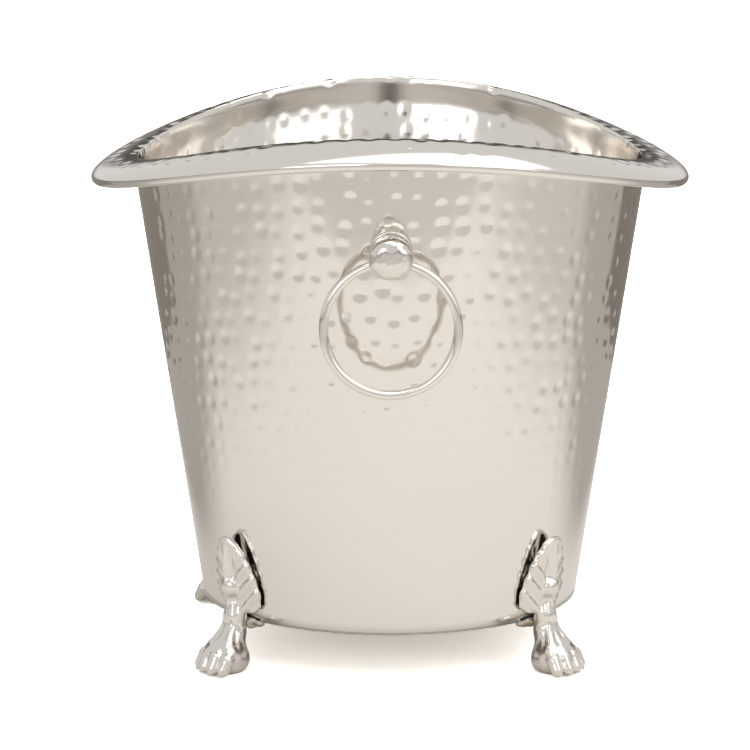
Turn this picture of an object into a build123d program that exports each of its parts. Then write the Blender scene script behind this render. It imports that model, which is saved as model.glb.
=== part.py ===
from build123d import *

import os
from math import atan, cos, degrees, radians, sin, sqrt

# Footed champagne bucket: a tapered round bucket with a wide saddle-shaped rolled rim,
# four cast claw feet and a ring handle hanging from a pierced knob at the front and the back.
# Millimetres, +Z up, -Y is the front. The origin is on the floor under the bucket's centre.

# --- Driving dimensions -------------------------------------------------------------------
BODY_Z = 24.0  # underside of the bucket above the floor
BODY_R = 90.4  # outer radius at the underside
WALL_SLOPE = 0.150  # growth of the radius for each millimetre of height
SHEET = 1.2  # sheet thickness of the wall
CREST_Z = 248.0  # mean height of the rim's crest
CREST_SWING = 11.6  # the crest rises this much front and back, and dips as much at the sides
CREST_OUT = 0.4  # the crest line stands this far outside the wall's line at the neck
RIM_R = 142.0  # outermost radius of the rim
EDGE_R = 2.9  # radius of the rim's rolled edge
EDGE_DROP = 9.6  # centre of the rolled edge below the crest
NECK_DROP = 17.0  # the wall starts to turn outwards this far below the crest

BASE_RECESS = 2.0  # the base disc sits this far up inside the wall
BASE_T = 1.6  # thickness of the base disc
BASE_EASE = 0.5  # chamfer round the base disc's upper edge

KNOB_Z = 209.0  # height at which the knobs' axis crosses the wall
KNOB_R = 10.2  # radius of the knob's ball head
KNOB_END = 18.6  # the knob's flattened face, measured out from the wall
COLLAR_R = 9.8  # radius of the collar behind the knob
COLLAR_END = 4.0  # the collar's front, measured out from the wall
PIVOT_OUT = 10.2  # the ball's centre and the ring's cross-hole, measured out from the wall
HOLE_DROP = 3.4  # the cross-hole lies this far below the ball's centre
HOLE_R = 3.5  # radius of the cross-hole
RING_OUTER_R = 32.1  # ring handle, outside radius
WIRE_R = 2.2  # radius of the ring's wire
STUD_R = 2.5  # threaded stud on the knob's back
STUD_GAP = 0.2  # clearance round the stud in the wall, the collar and the washer
STUD_END = -7.0  # the stud's tip, measured out from the wall, so inside the bucket
WASHER_R = 7.0
WASHER_T = 1.0
NUT_FLATS = 8.0  # across flats
NUT_T = 3.6

FOOT_ANGLES = {  # turned from the front, anticlockwise seen from above
    "front_right": 49.0,
    "back_right": 131.0,
    "back_left": 235.0,
    "front_left": 311.0,
}
TOE_OFFSETS = (-8.1, -2.8, 2.8, 8.1)  # toes across the paw
TOE_R = 3.5
ANKLE_R = 97.0  # distance of the ankle from the bucket's axis
PAW_R = 104.5  # distance of the paw's middle from the bucket's axis
TOE_REACH = 7.6  # the middle toes' tip centres beyond the paw's middle
TOE_SETBACK = 2.4  # how much shorter the outer toes are
LEAF_LOW_Z = 29.0  # bottom of the leaf
LEAF_HEIGHT = 36.0
LEAF_HALF_WIDTH = 15.0
LEAF_T = 2.6
LEAF_GAP = 3.6  # the leaf's back stands this far off the wall along its middle
LEAF_BEVEL = 11.0  # each half of the leaf slopes back to its edge by this angle
RIB_R = 1.8  # raised middle rib of the leaf
LUG_WIDTH = 12.0  # lug between the leaf and the wall
SOLDER_R = 3.3  # solder bead along the foot's joint with the bucket's bottom edge
SOLDER_SPREAD = 7.5  # the bead reaches this many degrees each side of the foot

SECTION_STEP = 15  # degrees between the rim's sections
REACH = 400.0  # longer than the bucket in every direction

# --- Worked-out sizes ---------------------------------------------------------------------
WALL_TILT = degrees(atan(WALL_SLOPE))
WALL_ACROSS = SHEET / cos(radians(WALL_TILT))  # wall thickness measured level
RING_R = RING_OUTER_R - WIRE_R
HOLE_HALF = sqrt(KNOB_R**2 - HOLE_DROP**2)  # half the cross-hole's length
RING_SAG = RING_R - sqrt(RING_R**2 - HOLE_HALF**2)  # bow of the ring inside the knob
CONE_TOP = CREST_Z - CREST_SWING - NECK_DROP  # the wall is a plain cone up to here all round


def wall_radius(z):
    """Outer radius of the wall at a height."""
    return BODY_R + WALL_SLOPE * (z - BODY_Z)


def crest_height(angle):
    """Height of the rim's crest at an angle from the front, in degrees."""
    return CREST_Z + CREST_SWING * cos(radians(2 * angle))


def around(shape, angle):
    """Turn a piece built at the front, towards -Y, to its place around the bucket."""
    return Rot(0, 0, angle) * shape


def cone(inset, low, high):
    """The solid cone inside the wall's outer face, less an inset, between two heights."""
    outline = Polyline(
        (0, low),
        (wall_radius(low) - inset, low),
        (wall_radius(high) - inset, high),
        (0, high),
        close=True,
    )
    return revolve(Plane.XZ * make_face(outline), Axis.Z)


def bucket_core():
    """Everything inside the wall's outer face, to cut the pieces that stand against it."""
    return cone(0, BODY_Z, CONE_TOP)


def on_wall(shape, out=0.0):
    """Place a piece on the front of the wall at the knob: its +Z points squarely outwards."""
    return Pos(0, -wall_radius(KNOB_Z), KNOB_Z) * Rot(90 + WALL_TILT, 0, 0) * Pos(0, 0, out) * shape


def rod(radius, start, end):
    """A round rod on the knob's axis, from start to end measured out from the wall."""
    upright = Cylinder(radius, end - start, align=(Align.CENTER, Align.CENTER, Align.MIN))
    return on_wall(upright, start)


def rim_section(angle):
    """The wall and the flared rim, cut by a half plane at one angle."""
    top = crest_height(angle)
    neck = top - NECK_DROP
    edge_z = top - EDGE_DROP
    edge_r = RIM_R - EDGE_R
    edge_lean = radians(35)  # where the sheet runs into the rolled edge
    inner_foot = (BODY_R - WALL_ACROSS, BODY_Z)
    outer_foot = (BODY_R, BODY_Z)
    outer_neck = (wall_radius(neck), neck)
    inner_neck = (wall_radius(neck) - WALL_ACROSS, neck)
    edge_in = (edge_r - EDGE_R * cos(edge_lean), edge_z + EDGE_R * sin(edge_lean))
    edge_out = (edge_r + EDGE_R * cos(edge_lean), edge_z + EDGE_R * sin(edge_lean))
    edge_low = (edge_r, edge_z - EDGE_R)
    crest_r = wall_radius(neck) + CREST_OUT
    width = edge_r - crest_r
    crest = (crest_r, top)
    under_crest = (crest_r + 0.24 * width, top - 4.6)
    shoulder = (crest_r + 0.5 * width, top - 1.6)
    outline = Wire(
        [
            Line(inner_foot, outer_foot),
            Line(outer_foot, outer_neck),
            Spline(outer_neck, under_crest, edge_in, tangents=((WALL_SLOPE, 1), (1, -0.85))),
            ThreePointArc(edge_in, edge_low, edge_out),
            Spline(edge_out, shoulder, crest, tangents=((-1, 1.2), (-1, 0))),
            Spline(crest, inner_neck, tangents=((-1, -0.6), (-WALL_SLOPE, -1))),
            Line(inner_neck, inner_foot),
        ]
    )
    return around(Plane.XZ.rotated((0, 0, -90)) * make_face(outline), angle)


def make_shell():
    """Tapered wall and flared rim in one sheet, open at the bottom for the base disc."""
    halves = []
    for start in (0, 180):
        sections = [rim_section(start + turn) for turn in range(0, 181, SECTION_STEP)]
        halves.append(loft(sections))
    shell = halves[0] + halves[1]
    for angle in (0, 180):
        shell -= around(rod(STUD_R + STUD_GAP, -SHEET * 4, SHEET * 4), angle)
    return shell


def make_base():
    """Flat disc let into the bottom of the wall."""
    low = BODY_Z + BASE_RECESS
    disc = cone(WALL_ACROSS, low, low + BASE_T)
    return chamfer(disc.faces().sort_by(Axis.Z)[-1].edges(), BASE_EASE)


def make_knob():
    """Ball knob with a flattened face, a low cross-hole for the ring and a threaded stud."""
    head = Pos(0, 0, PIVOT_OUT) * Sphere(KNOB_R)
    head &= Pos(0, 0, COLLAR_END) * Cylinder(
        KNOB_R + 1, KNOB_END - COLLAR_END, align=(Align.CENTER, Align.CENTER, Align.MIN)
    )
    head -= Pos(0, -HOLE_DROP, PIVOT_OUT) * Rot(0, 90, 0) * Cylinder(HOLE_R, 4 * KNOB_R)
    return on_wall(head) + rod(STUD_R, STUD_END, COLLAR_END)


def make_collar():
    """Turned collar between the knob and the wall, its back hollowed to the wall's curve."""
    blank = rod(COLLAR_R, -COLLAR_END, COLLAR_END)
    blank = chamfer(blank.faces().sort_by(Axis.Y)[0].edges(), 1.2)
    blank -= bucket_core()
    return blank - rod(STUD_R + STUD_GAP, -COLLAR_END, COLLAR_END + 1)


def make_ring():
    """Ring handle hanging straight down through the knob's cross-hole."""
    pivot = pivot_point()
    top_z = pivot.Z + RING_SAG / 2
    return Pos(0, pivot.Y, top_z - RING_R) * Rot(90, 0, 0) * Torus(RING_R, WIRE_R)


def pivot_point():
    """Centre of the knob's cross-hole at the front."""
    return on_wall(Vertex(0, -HOLE_DROP, 0), PIVOT_OUT).center()


def make_washer():
    """Flat washer inside the bucket; the wall's curve leaves a gap only along its sides."""
    inner = -washer_seat()
    return rod(WASHER_R, inner - WASHER_T, inner) - rod(STUD_R + STUD_GAP, inner - WASHER_T, inner)


def washer_seat():
    """Depth below the wall's outer face at which the washer's rim meets the inner face."""
    inner_r = (wall_radius(KNOB_Z) - WALL_ACROSS) * cos(radians(WALL_TILT))
    bow = inner_r - sqrt(inner_r**2 - WASHER_R**2)
    return SHEET + bow + 0.05


def make_nut():
    """Hexagon nut on the knob's stud."""
    outer = -washer_seat() - WASHER_T
    prism = extrude(RegularPolygon(NUT_FLATS / 2, 6, major_radius=False), NUT_T)
    return on_wall(prism, outer - NUT_T) - rod(STUD_R, outer - NUT_T, outer)


def ellipsoid(centre, radii):
    """Ellipsoid from its centre and its half-sizes."""
    return Pos(*centre) * scale(Sphere(1), by=radii)


def capsule(start, end, radius):
    """Round-ended rod between two points."""
    axis = Vector(*end) - Vector(*start)
    rod_plane = Plane(origin=start, z_dir=axis)
    body = rod_plane * Cylinder(radius, axis.length, align=(Align.CENTER, Align.CENTER, Align.MIN))
    return body + Pos(*start) * Sphere(radius) + Pos(*end) * Sphere(radius)


def make_paw():
    """Lion's paw: a rounded pad, a heel and four toes, flat underneath."""
    paw = ellipsoid((0, -PAW_R + 1, 7.8), (10.8, 9.0, 8.8))
    paw += ellipsoid((0, -PAW_R + 5.0, 5.0), (8.0, 6.0, 6.4))
    for offset in TOE_OFFSETS:
        outer = abs(offset) > TOE_R
        reach = TOE_REACH - (TOE_SETBACK if outer else 0)
        knuckle = (offset * 0.86, -PAW_R - 0.5, 10.2 - (1.6 if outer else 0))
        tip = (offset * 1.04, -PAW_R - reach, TOE_R - 0.3)
        paw += capsule(knuckle, tip, TOE_R)
    ground = Pos(0, -PAW_R, -REACH / 2) * Box(REACH, REACH, REACH)
    return paw - ground


def make_ankle():
    """Slender ankle that rises from the paw and spreads into the foot of the leaf."""
    stations = [  # height, distance from the bucket's axis, half width, half depth
        (9.0, ANKLE_R + 1.5, 9.2, 7.8),
        (15.0, ANKLE_R + 0.4, 7.4, 6.4),
        (21.0, ANKLE_R, 6.2, 5.4),
        (28.0, ANKLE_R + 0.6, 7.2, 4.8),
        (35.0, ANKLE_R + 2.0, 9.0, 3.6),
    ]
    rings = [Pos(0, -r, z) * Ellipse(wide, deep) for z, r, wide, deep in stations]
    return loft(rings)


def make_leaf():
    """Pointed leaf in two bevelled halves with a raised middle rib, leaning with the wall."""
    low = wall_radius(LEAF_LOW_Z) + LEAF_GAP
    half = Polyline(
        (-RIB_R, 0),
        (LEAF_HALF_WIDTH * 0.6, 1.0),
        (LEAF_HALF_WIDTH, LEAF_HEIGHT * 0.12),
        (LEAF_HALF_WIDTH * 0.86, LEAF_HEIGHT * 0.36),
        (LEAF_HALF_WIDTH * 0.58, LEAF_HEIGHT * 0.66),
        (0, LEAF_HEIGHT),
        (-RIB_R, LEAF_HEIGHT - 2 * RIB_R),
        close=True,
    )
    plate = extrude(make_face(half), LEAF_T)
    right = Rot(0, LEAF_BEVEL, 0) * plate
    left = mirror(right, Plane.YZ)
    rib = Pos(0, 0, LEAF_T) * capsule((0, 2, 0), (0, LEAF_HEIGHT - 3, 0), RIB_R)
    leaf = left + right + rib
    return Pos(0, -low, LEAF_LOW_Z) * Rot(90 + WALL_TILT, 0, 0) * leaf


def make_foot():
    """One cast claw foot: paw, ankle, leaf and the lug that meets the wall."""
    lug_z = LEAF_LOW_Z + LEAF_HEIGHT * 0.30
    lug = Pos(0, -wall_radius(lug_z) - LEAF_GAP / 2, lug_z) * Box(
        LUG_WIDTH, LEAF_GAP * 2.4, LEAF_HEIGHT * 0.4
    )
    foot = make_paw() + make_ankle() + make_leaf() + lug
    return foot - bucket_core()


def make_solder(foot):
    """Solder bead between the bucket's bottom edge and the inner side of one foot."""
    path_r = BODY_R - 1.0
    path_z = BODY_Z - 1.4
    profile = Plane.XZ.rotated((0, 0, -90)) * Pos(path_r, path_z) * Circle(SOLDER_R)
    bead = revolve(around(profile, -SOLDER_SPREAD), Axis.Z, 2 * SOLDER_SPREAD)
    for end in (-SOLDER_SPREAD, SOLDER_SPREAD):
        bead += around(Pos(0, -path_r, path_z) * Sphere(SOLDER_R), end)
    return bead - bucket_core() - foot


def make_all():
    """Every piece by name, in place."""
    pieces = {"bucket_shell": make_shell(), "base_disc": make_base()}
    makers = {
        "knob": make_knob,
        "knob_collar": make_collar,
        "knob_washer": make_washer,
        "knob_nut": make_nut,
        "ring": make_ring,
    }
    for side, angle in (("front", 0), ("back", 180)):
        for name, maker in makers.items():
            pieces[f"{side}_{name}"] = around(maker(), angle)
    foot = make_foot()
    solder = make_solder(foot)
    for place, angle in FOOT_ANGLES.items():
        pieces[f"{place}_foot"] = around(foot, angle)
        pieces[f"{place}_solder"] = around(solder, angle)
    return pieces


os.makedirs("parts", exist_ok=True)
for node, piece in make_all().items():
    piece.label = node
    export_step(piece, f"parts/{node}.step")
pivot = pivot_point()
print(f"front pivot {pivot.Y:.3f} {pivot.Z:.3f}, ring bow in the knob {RING_SAG:.2f}")
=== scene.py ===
"""Footed champagne bucket: hammered nickel body, saddle-shaped rim, cast claw feet, ring handles."""
import math

import bpy
import numpy as np
from bpy.props import FloatProperty, FloatVectorProperty, IntProperty, PointerProperty
from mathutils import Matrix, Vector


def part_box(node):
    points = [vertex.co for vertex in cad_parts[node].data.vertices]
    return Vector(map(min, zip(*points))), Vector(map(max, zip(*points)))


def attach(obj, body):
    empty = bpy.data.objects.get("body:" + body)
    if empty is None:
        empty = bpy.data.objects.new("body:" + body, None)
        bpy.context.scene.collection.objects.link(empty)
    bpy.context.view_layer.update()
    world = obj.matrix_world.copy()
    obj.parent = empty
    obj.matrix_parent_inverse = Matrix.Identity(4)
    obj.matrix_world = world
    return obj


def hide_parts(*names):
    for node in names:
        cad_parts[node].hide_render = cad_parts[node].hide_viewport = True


bl_info = {
    "name": "Footed Champagne Bucket",
    "version": (1, 0, 0),
    "blender": (4, 5, 0),
    "location": "3D View > Sidebar > Bucket",
    "description": "Builds a hammered champagne bucket with claw feet and ring handles",
    "category": "Object",
}

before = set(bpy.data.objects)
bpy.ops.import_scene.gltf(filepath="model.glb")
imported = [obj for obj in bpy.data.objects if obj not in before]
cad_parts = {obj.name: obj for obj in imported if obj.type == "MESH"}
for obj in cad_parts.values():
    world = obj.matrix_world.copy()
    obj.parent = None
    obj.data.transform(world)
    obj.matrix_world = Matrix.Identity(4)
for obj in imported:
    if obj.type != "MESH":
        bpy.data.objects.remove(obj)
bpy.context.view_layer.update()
SHELL_LOW, SHELL_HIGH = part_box("bucket_shell")
RING_LOW, RING_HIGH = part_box("front_ring")
MM = 0.001
SIDES = {"front": 0.0, "back": math.pi}  # each handle's turn from the front
FEET = {  # each foot's turn from the front in degrees, anticlockwise seen from above
    "front_right": 49.0,
    "back_right": 131.0,
    "back_left": 235.0,
    "front_left": 311.0,
}


# --- Sizes and colours ---------------------------------------------------------------------


def length(name, description, default):
    """A length property, in metres."""
    return FloatProperty(name=name, description=description, default=default, unit="LENGTH")


def colour(name, description, default):
    """A plain RGB colour property."""
    return FloatVectorProperty(
        name=name, description=description, default=default, subtype="COLOR", size=3, min=0, max=4
    )


class BodySizes(bpy.types.PropertyGroup):
    """The tapered wall and its flared rim."""

    underside: length("Underside", "Height of the body's bottom edge", SHELL_LOW.z)
    bottom_radius: length("Bottom radius", "Outer radius at the bottom edge", 0.0904)
    wall_slope: FloatProperty(
        name="Wall slope", description="Growth of the radius with height", default=0.150
    )
    sheet: length("Sheet", "Thickness of the metal sheet", 0.0012)
    crest_high: length("Crest", "Highest point of the rim", SHELL_HIGH.z)
    crest_swing: length("Crest swing", "Rise and dip of the rim about its mean height", 0.0116)
    crest_out: length("Crest offset", "The crest stands this far outside the neck", 0.0004)
    neck_drop: length("Neck drop", "The wall starts to flare this far below the crest", 0.017)
    rim_radius: length("Rim radius", "Outermost radius of the rim", SHELL_HIGH.x)
    edge_radius: length("Edge radius", "Radius of the rim's rolled edge", 0.0029)
    edge_drop: length("Edge drop", "Centre of the rolled edge below the crest", 0.0096)


class HammerMarks(bpy.types.PropertyGroup):
    """The planished dents."""

    columns: IntProperty(name="Columns", description="Dents around the body", default=72, min=12)
    rows: IntProperty(name="Rows", description="Rows of dents up the wall", default=20, min=4)
    radius: length("Dent radius", "Radius of one hammer mark", 0.0036)
    depth: length("Dent depth", "Depth of an average hammer mark", 0.00031)
    jitter: FloatProperty(
        name="Jitter", description="Wandering of the marks off their grid", default=0.44,
        subtype="FACTOR", min=0, max=1,
    )
    fade_low: length("Fade low", "Below this height the marks are planished nearly flat", 0.070)
    fade_high: length("Fade high", "Above this height the marks are full", 0.135)
    rim_depth: length("Rim dent depth", "Depth of the marks along the crest", 0.00050)
    seed: IntProperty(name="Seed", description="Seed of the hammering", default=11)


class HandleSizes(bpy.types.PropertyGroup):
    """Knobs and rings."""

    wire_radius: length("Wire radius", "Radius of the ring's wire", 0.0022)
    knob_radius: length("Knob radius", "Radius of the knob's ball head", 0.0102)
    knob_end: length("Knob length", "The knob's flattened face, out from the wall", 0.0186)
    collar_radius: length("Collar radius", "Radius of the collar behind the knob", 0.0098)
    collar_end: length("Collar thickness", "The collar's front, out from the wall", 0.004)
    pivot_out: length("Pivot", "The ring's hole, out from the wall", 0.0102)
    hole_drop: length("Hole drop", "The hole lies this far below the ball's centre", 0.0034)
    hole_radius: length("Hole radius", "Radius of the ring's hole through the knob", 0.0035)
    stud_radius: length("Stud radius", "Radius of the knob's stud", 0.0025)
    stud_end: length("Stud end", "Length of the stud inside the wall", 0.007)
    knob_height: length("Knob height", "Height of the knob on the wall", 0.209)


class FootSizes(bpy.types.PropertyGroup):
    """The cast claw feet."""

    ankle_radius: length("Ankle place", "The ankle from the bucket's axis", 0.097)
    paw_radius: length("Paw place", "The paw's middle from the bucket's axis", 0.1045)
    leaf_low: length("Leaf bottom", "Height of the leaf's lower corners", 0.0295)
    leaf_height: length("Leaf height", "Height of the leaf along the wall", 0.0355)
    leaf_half_width: length("Leaf half width", "Half the leaf's greatest width", 0.0150)
    leaf_gap: length("Leaf gap", "The leaf's middle stands this far off the wall", 0.0036)
    leaf_thickness: length("Leaf thickness", "Thickness of the leaf's edge", 0.0026)
    cell: length("Cell", "Mesh size of the castings", 0.00042)
    seed: IntProperty(name="Seed", description="Seed of the casting's unevenness", default=5)


class Finishes(bpy.types.PropertyGroup):
    """Colours of the metals and of the stage."""

    nickel: colour("Nickel", "Polished warm nickel", (0.885, 0.862, 0.825))
    nickel_worn: colour("Worn nickel", "Nickel where it is handled and rubbed", (0.95, 0.935, 0.90))
    # painted shade: this brown darkens hollows, dents and solder where shade falls, and it also colours
    # random tarnish patches
    tarnish_and_shade: colour("Tarnish", "Brown film in hollows", (0.33, 0.28, 0.22))
    cast: colour("Cast nickel", "Plated casting", (0.88, 0.86, 0.815))
    steel: colour("Steel", "Bare steel fixings", (0.60, 0.60, 0.59))
    solder: colour("Solder", "Brownish brazing", (0.42, 0.34, 0.26))
    floor: colour("Floor", "Pale floor as it lights the metal", (0.84, 0.82, 0.795))
    # painted shade: the floor as the metal sees it, darker far off and beside and behind the bucket
    floor_far_shade: colour("Far floor", "The floor further off, as the metal sees it", (0.58, 0.56, 0.53))
    floor_corner_shade: colour("Floor corners", "The floor beside and behind the bucket", (0.43, 0.415, 0.39))
    flag: colour("Flags", "Grey flags that darken the body's edges", (0.30, 0.275, 0.25))
    room: colour("Room", "The studio's pale ceiling and walls", (0.76, 0.75, 0.73))
    room_low: colour("Low room", "The dim room behind and round the horizon", (0.10, 0.09, 0.08))


class StudioSizes(bpy.types.PropertyGroup):
    """Camera and lights."""

    camera_distance: length("Camera distance", "From the bucket's axis, level", 1.632)
    camera_height: length("Camera height", "Above the floor", 0.456)
    camera_side: length("Camera side", "The camera stands this far to the left", -0.0071)
    camera_tilt: FloatProperty(
        name="Camera tilt", description="Downward tilt", default=math.radians(11.34),
        subtype="ANGLE",
    )
    lens: FloatProperty(name="Lens", description="Focal length in millimetres", default=165.7)


# --- Node helpers --------------------------------------------------------------------------


def put(tree, kind, feeds=(), **settings):
    """Adds a node, sets its settings and feeds its inputs with sockets or plain values."""
    node = tree.nodes.new(kind)
    for key, value in settings.items():
        setattr(node, key, value)
    for socket, value in dict(feeds).items():
        if isinstance(value, bpy.types.NodeSocket):
            tree.links.new(value, node.inputs[socket])
        else:
            node.inputs[socket].default_value = value
    return node


def calc(tree, operation, *values, clamp=False):
    """A Math node's result."""
    return put(
        tree, "ShaderNodeMath", enumerate(values), operation=operation, use_clamp=clamp
    ).outputs[0]


def vector_calc(tree, operation, *values):
    """A Vector Math node's vector result."""
    return put(tree, "ShaderNodeVectorMath", enumerate(values), operation=operation).outputs[0]


def scaled(tree, vector, factor):
    """A vector times a number."""
    return put(
        tree, "ShaderNodeVectorMath", {"Vector": vector, "Scale": factor}, operation="SCALE"
    ).outputs[0]


def smooth_step(tree, value, low, high, start=0.0, end=1.0):
    """A soft ramp of a value between two limits."""
    feeds = {"Value": value, "From Min": low, "From Max": high, "To Min": start, "To Max": end}
    return put(tree, "ShaderNodeMapRange", feeds, interpolation_type="SMOOTHSTEP").outputs[0]


def rgba(value):
    """A plain RGB colour as a socket wants it; a socket stays as it is."""
    return value if isinstance(value, bpy.types.NodeSocket) else (*value, 1.0)


def blended(tree, factor, first, second):
    """A colour between two colours."""
    feeds = {0: factor, 6: rgba(first), 7: rgba(second)}
    return put(tree, "ShaderNodeMix", feeds, data_type="RGBA").outputs[2]


def new_tree(name, kind, inputs, outputs):
    """A node group, its inputs' sockets by name, and its output node.

    Sockets are given as (name, type, default) in and (name, type) out.
    """
    tree = bpy.data.node_groups.new(name, kind)
    for label, socket_type, default in inputs:
        socket = tree.interface.new_socket(label, in_out="INPUT", socket_type=socket_type)
        if default is not None:
            socket.default_value = default
    for label, socket_type in outputs:
        tree.interface.new_socket(label, in_out="OUTPUT", socket_type=socket_type)
    given = {socket.name: socket for socket in tree.nodes.new("NodeGroupInput").outputs}
    return tree, given, tree.nodes.new("NodeGroupOutput")


def end_with(tree, end, geometry, material):
    """Ends a Geometry Nodes tree in real, painted geometry."""
    solid = put(tree, "GeometryNodeRealizeInstances", {0: geometry})
    painted = put(tree, "GeometryNodeSetMaterial", {0: solid.outputs[0], "Material": material})
    tree.links.new(painted.outputs[0], end.inputs[0])


def applied(name, mesh, steps, material):
    """Runs Geometry Nodes steps, (tree, values) each, on a mesh and returns the plain result."""
    piece = bpy.data.objects.new(name + "_source", mesh)
    bpy.context.collection.objects.link(piece)
    for tree, values in steps:
        modifier = piece.modifiers.new(tree.name, "NODES")
        modifier.node_group = tree
        sockets = {item.name: item.identifier for item in tree.interface.items_tree}
        for label, value in {**values, "Material": material}.items():
            modifier[sockets[label]] = value
    depsgraph = bpy.context.evaluated_depsgraph_get()
    made = bpy.data.meshes.new_from_object(piece.evaluated_get(depsgraph))
    bpy.data.objects.remove(piece)
    made.name = name
    finished = bpy.data.objects.new(name, made)
    bpy.context.collection.objects.link(finished)
    made.shade_smooth()
    return finished


# --- Mesh helpers --------------------------------------------------------------------------


def new_mesh(name, points, faces, material=None, smooth=True):
    """A mesh from arrays of points, in metres, and faces."""
    mesh = bpy.data.meshes.new(name)
    mesh.from_pydata(points.tolist(), [], faces.tolist())
    if material:
        mesh.materials.append(material)
    if smooth:
        mesh.shade_smooth()
    return mesh


def new_piece(name, mesh, body, slot, *nodes):
    """Places a finished mesh or object on its body, in place of its CAD nodes."""
    piece = mesh
    if isinstance(mesh, bpy.types.Mesh):
        piece = bpy.data.objects.new(name, mesh)
        bpy.context.collection.objects.link(piece)
    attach(piece, body)
    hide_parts(*nodes)
    return piece


def repaint(node, material):
    """Gives a CAD piece its finish."""
    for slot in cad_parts[node].material_slots:
        slot.material = material


def set_points(mesh, points):
    """Puts a mesh's points at new places, in metres."""
    mesh.vertices.foreach_set("co", points.astype(np.float32).ravel())
    mesh.update()


def add_mask(mesh, name, values):
    """Stores one number a point, for the materials to read."""
    mesh.attributes.new(name, "FLOAT", "POINT").data.foreach_set("value", values.astype(np.float32))


def turned(points, angle):
    """Points turned about the bucket's axis."""
    c, s = math.cos(angle), math.sin(angle)
    return points @ np.array([[c, s, 0], [-s, c, 0], [0, 0, 1]])


def cubic(start, handle, other_handle, end, count):
    """Points along a Bezier curve for every column: (columns, count, 2)."""
    t = np.linspace(0, 1, count)[None, :, None]
    corners = [np.asarray(p)[:, None, :] for p in (start, handle, other_handle, end)]
    weights = ((1 - t) ** 3, 3 * t * (1 - t) ** 2, 3 * t**2 * (1 - t), t**3)
    return sum(w * p for w, p in zip(weights, corners))


def swept_ring(name, profile):
    """A closed ring from one closed profile for each column: (columns, rows, radius and height)."""
    columns, rows = profile.shape[:2]
    angle = np.linspace(0, 2 * math.pi, columns, endpoint=False)[:, None]
    radius, height = profile[..., 0], profile[..., 1]
    points = np.stack([radius * np.sin(angle), -radius * np.cos(angle), height], -1)
    column, row = np.meshgrid(np.arange(columns), np.arange(rows), indexing="ij")
    ahead, above = (column + 1) % columns, (row + 1) % rows
    corners = [column * rows + row, ahead * rows + row, ahead * rows + above, column * rows + above]
    faces = np.stack(corners, -1).reshape(-1, 4)
    return new_mesh(name, points.reshape(-1, 3), faces)


# --- Body ----------------------------------------------------------------------------------


WALL_COLUMNS, RIM_COLUMNS = 680, 640  # mesh columns round the two pieces of the body
EDGE_FROM, EDGE_TO = 170, 395  # degrees the rolled edge turns between, from under the rim to its top


class BodyLines:
    """The body's section lines at every column around it, as (radius, height) points."""

    BEND_OUT, BEND_DROP = 9 * MM, 2.6 * MM  # the bend has turned level this far outside the crest
    CREST_FLAT = 0.38  # share of the rim's width over which its upper face leaves the crest level

    def __init__(self, sizes, columns):
        angle = np.linspace(0, 2 * math.pi, columns, endpoint=False)
        mean = sizes.crest_high - sizes.crest_swing
        self.sizes = sizes
        self.top = mean + sizes.crest_swing * np.cos(2 * angle)
        self.neck = self.top - sizes.neck_drop
        self.neck_radius = sizes.bottom_radius + sizes.wall_slope * (self.neck - sizes.underside)
        self.crest_radius = self.neck_radius + sizes.crest_out
        self.edge_radius = np.full(columns, sizes.rim_radius - sizes.edge_radius)
        self.edge_height = self.top - sizes.edge_drop

    def at(self, radius, below_crest):
        """A point at a radius and a depth below the crest, for every column."""
        return np.stack([radius + 0 * self.top, self.top - below_crest], -1)

    def wall(self, inset, fractions):
        """The straight wall, inset from its outer face, at fractions of its height."""
        low = self.sizes.underside
        height = low + fractions[None, :] * (self.neck - low)[:, None]
        radius = self.sizes.bottom_radius + self.sizes.wall_slope * (height - low) - inset
        return np.stack([radius, height], -1)

    def bend_end(self):
        """Where the outside of the bend has turned level and becomes the rim's underside."""
        return self.at(self.crest_radius + self.BEND_OUT, self.BEND_DROP)

    def flare(self, count):
        """The outside of the bend from the neck to under the rim."""
        neck = self.at(self.neck_radius, self.sizes.neck_drop)
        rise = np.array([self.sizes.wall_slope, 1.0]) * 9.5 * MM
        end = self.bend_end()
        return cubic(neck, neck + rise, end - np.array([6.0, -0.6]) * MM, end, count)

    def under_rim(self, count):
        """The rim's underside, from the bend out to the rolled edge."""
        start = self.bend_end()
        end = self.edge(EDGE_FROM, EDGE_FROM, 1)[:, 0]
        handle = start + np.array([4.4, -0.8]) * MM
        return cubic(start, handle, end + np.array([-1.0, 3.8]) * MM, end, count)

    def edge(self, first, last, count):
        """The rolled edge's outline between two angles, in degrees."""
        turn = np.radians(np.linspace(first, last, count))[None, :]
        radius = self.edge_radius[:, None] + self.sizes.edge_radius * np.cos(turn)
        height = self.edge_height[:, None] + self.sizes.edge_radius * np.sin(turn)
        return np.stack([radius, height], -1)

    def rim_top(self, count):
        """The rim's upper face, from the rolled edge in to the crest."""
        start = self.edge(EDGE_TO, EDGE_TO, 1)[:, 0]
        leaving = math.radians(EDGE_TO)
        lean = np.array([-math.sin(leaving), math.cos(leaving)]) * 5.5 * MM
        crest = self.at(self.crest_radius, 0)
        reach = self.CREST_FLAT * (self.edge_radius - self.crest_radius)
        handle = crest + np.stack([reach, 0 * reach], -1)
        return cubic(start, start + lean, handle, crest, count)

    def throat(self, count):
        """The inside of the bend, from the crest down to the inner wall."""
        s = self.sizes
        crest = self.at(self.crest_radius, 0)
        end = self.at(self.neck_radius - s.sheet, s.neck_drop)
        rise = np.array([s.wall_slope, 1.0]) * 7.5 * MM
        return cubic(crest, crest + np.array([-1.6, -0.2]) * MM, end + rise, end, count)


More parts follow.
